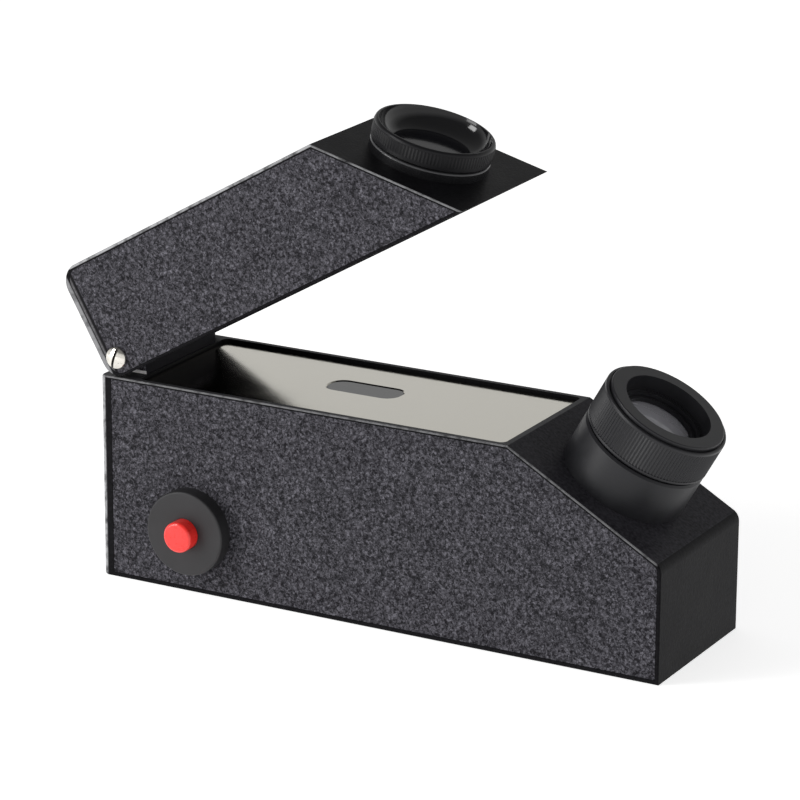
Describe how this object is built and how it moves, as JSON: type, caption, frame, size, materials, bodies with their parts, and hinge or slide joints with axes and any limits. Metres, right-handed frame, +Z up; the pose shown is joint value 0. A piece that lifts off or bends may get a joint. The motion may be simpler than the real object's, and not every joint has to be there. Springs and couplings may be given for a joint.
{
  "type": "gem refractometer",
  "caption": "Gem refractometer with a hinged lid, a steel stage with a glass window, a lamp button and a knurled focusing eyepiece on a sloping face.",
  "frame": {"origin": "centre of the base, on the surface that it stands on", "axes": "+X from the hinge end to the eyepiece end, -Y the side with the button, +Z up"},
  "size_m": [0.1632, 0.0521, 0.1206],
  "materials": {
    "housing": "satin black, smooth",
    "side_skin": "charcoal, crinkle texture",
    "stage_steel": "satin, polished on top",
    "clear_glass": "polished",
    "dense_glass": "polished, dark from above",
    "amber_glass": "polished amber",
    "grey_glass": "grey polarising glass",
    "black_anodised": "satin black anodised",
    "nickel": "nickel plated",
    "dark_steel": "blackened",
    "spring_steel": "bright",
    "red_button": "gloss red",
    "inner_plastic": "dark grey moulding",
    "pale_nylon": "nylon",
    "lamp_resin": "clear amber resin",
    "silvered": "front silvered",
    "cell_wrap": "plain sleeve",
    "brass": "plain"
  },
  "bodies": {
    "instrument": {"body_housing": "housing", "near_side_panel": "side_skin", "far_side_panel": "side_skin", "stage_plate": "stage_steel", "stage_glass": "dense_glass", "prism_mount": "black_anodised", "lamp_tube": "black_anodised", "colour_filter": "amber_glass", "lamp": "lamp_resin", "lamp_hanger": "inner_plastic", "relay_tube": "black_anodised", "relay_lens": "clear_glass", "scale_disc": "clear_glass", "relay_retaining_rings": "brass", "relay_hanger": "inner_plastic", "beam_mirror": "silvered", "mirror_wedge": "inner_plastic", "base_cover": "housing", "base_cover_screws": "dark_steel", "battery_tray": "inner_plastic", "batteries": "cell_wrap", "battery_contacts": "spring_steel", "switch_bezel": "black_anodised", "switch_body": "inner_plastic", "switch_nut": "nickel", "button_spring": "spring_steel", "hinge_block": "side_skin", "hinge_block_screws": "dark_steel", "hinge_screws": "nickel", "hinge_washers": "pale_nylon", "eyepiece_barrel": "black_anodised", "barrel_nut": "black_anodised", "guide_screw": "dark_steel"},
    "lid": {"lid_shell": "housing", "lid_near_panel": "side_skin", "lid_far_panel": "side_skin", "filter_socket": "black_anodised"},
    "filter_cap": {"cap_ring": "black_anodised", "cap_filter": "grey_glass"},
    "focus_ring": {"focus_ring": "black_anodised"},
    "lens_tube": {"lens_tube": "black_anodised", "eye_lens": "clear_glass", "field_lens": "clear_glass", "eyepiece_lens_rings": "black_anodised"},
    "push_button": {"push_button": "red_button"}
  },
  "joints": [
    {"name": "lid_hinge", "type": "hinge", "parent": "instrument", "child": "lid", "pos_m": [-0.07, 0, 0.056], "axis": [0, -1, 0], "range_deg": [-30, 60]},
    {"name": "cap_slide", "type": "slide", "parent": "lid", "child": "filter_cap", "axis": [0.2588, 0, 0.9659], "range_m": [0, 0.012]},
    {"name": "ring_turn", "type": "hinge", "parent": "instrument", "child": "focus_ring", "pos_m": [0.05488, 0, 0.03996], "axis": [0.495, 0, 0.8689], "range_deg": [-119, 119]},
    {"name": "lens_slide", "type": "slide", "parent": "instrument", "child": "lens_tube", "axis": [0.495, 0, 0.8689], "range_m": [-0.002, 0.002]},
    {"name": "button_press", "type": "slide", "parent": "instrument", "child": "push_button", "axis": [0, 1, 0], "range_m": [0, 0.0016], "stiffness_N_per_m": 800, "springref_m": -0.001, "deforming": ["button_spring"]}
  ],
  "couplings": [
    {"joint": "lens_slide", "follows": "ring_turn", "m_per_rad": 0.000955}
  ]
}
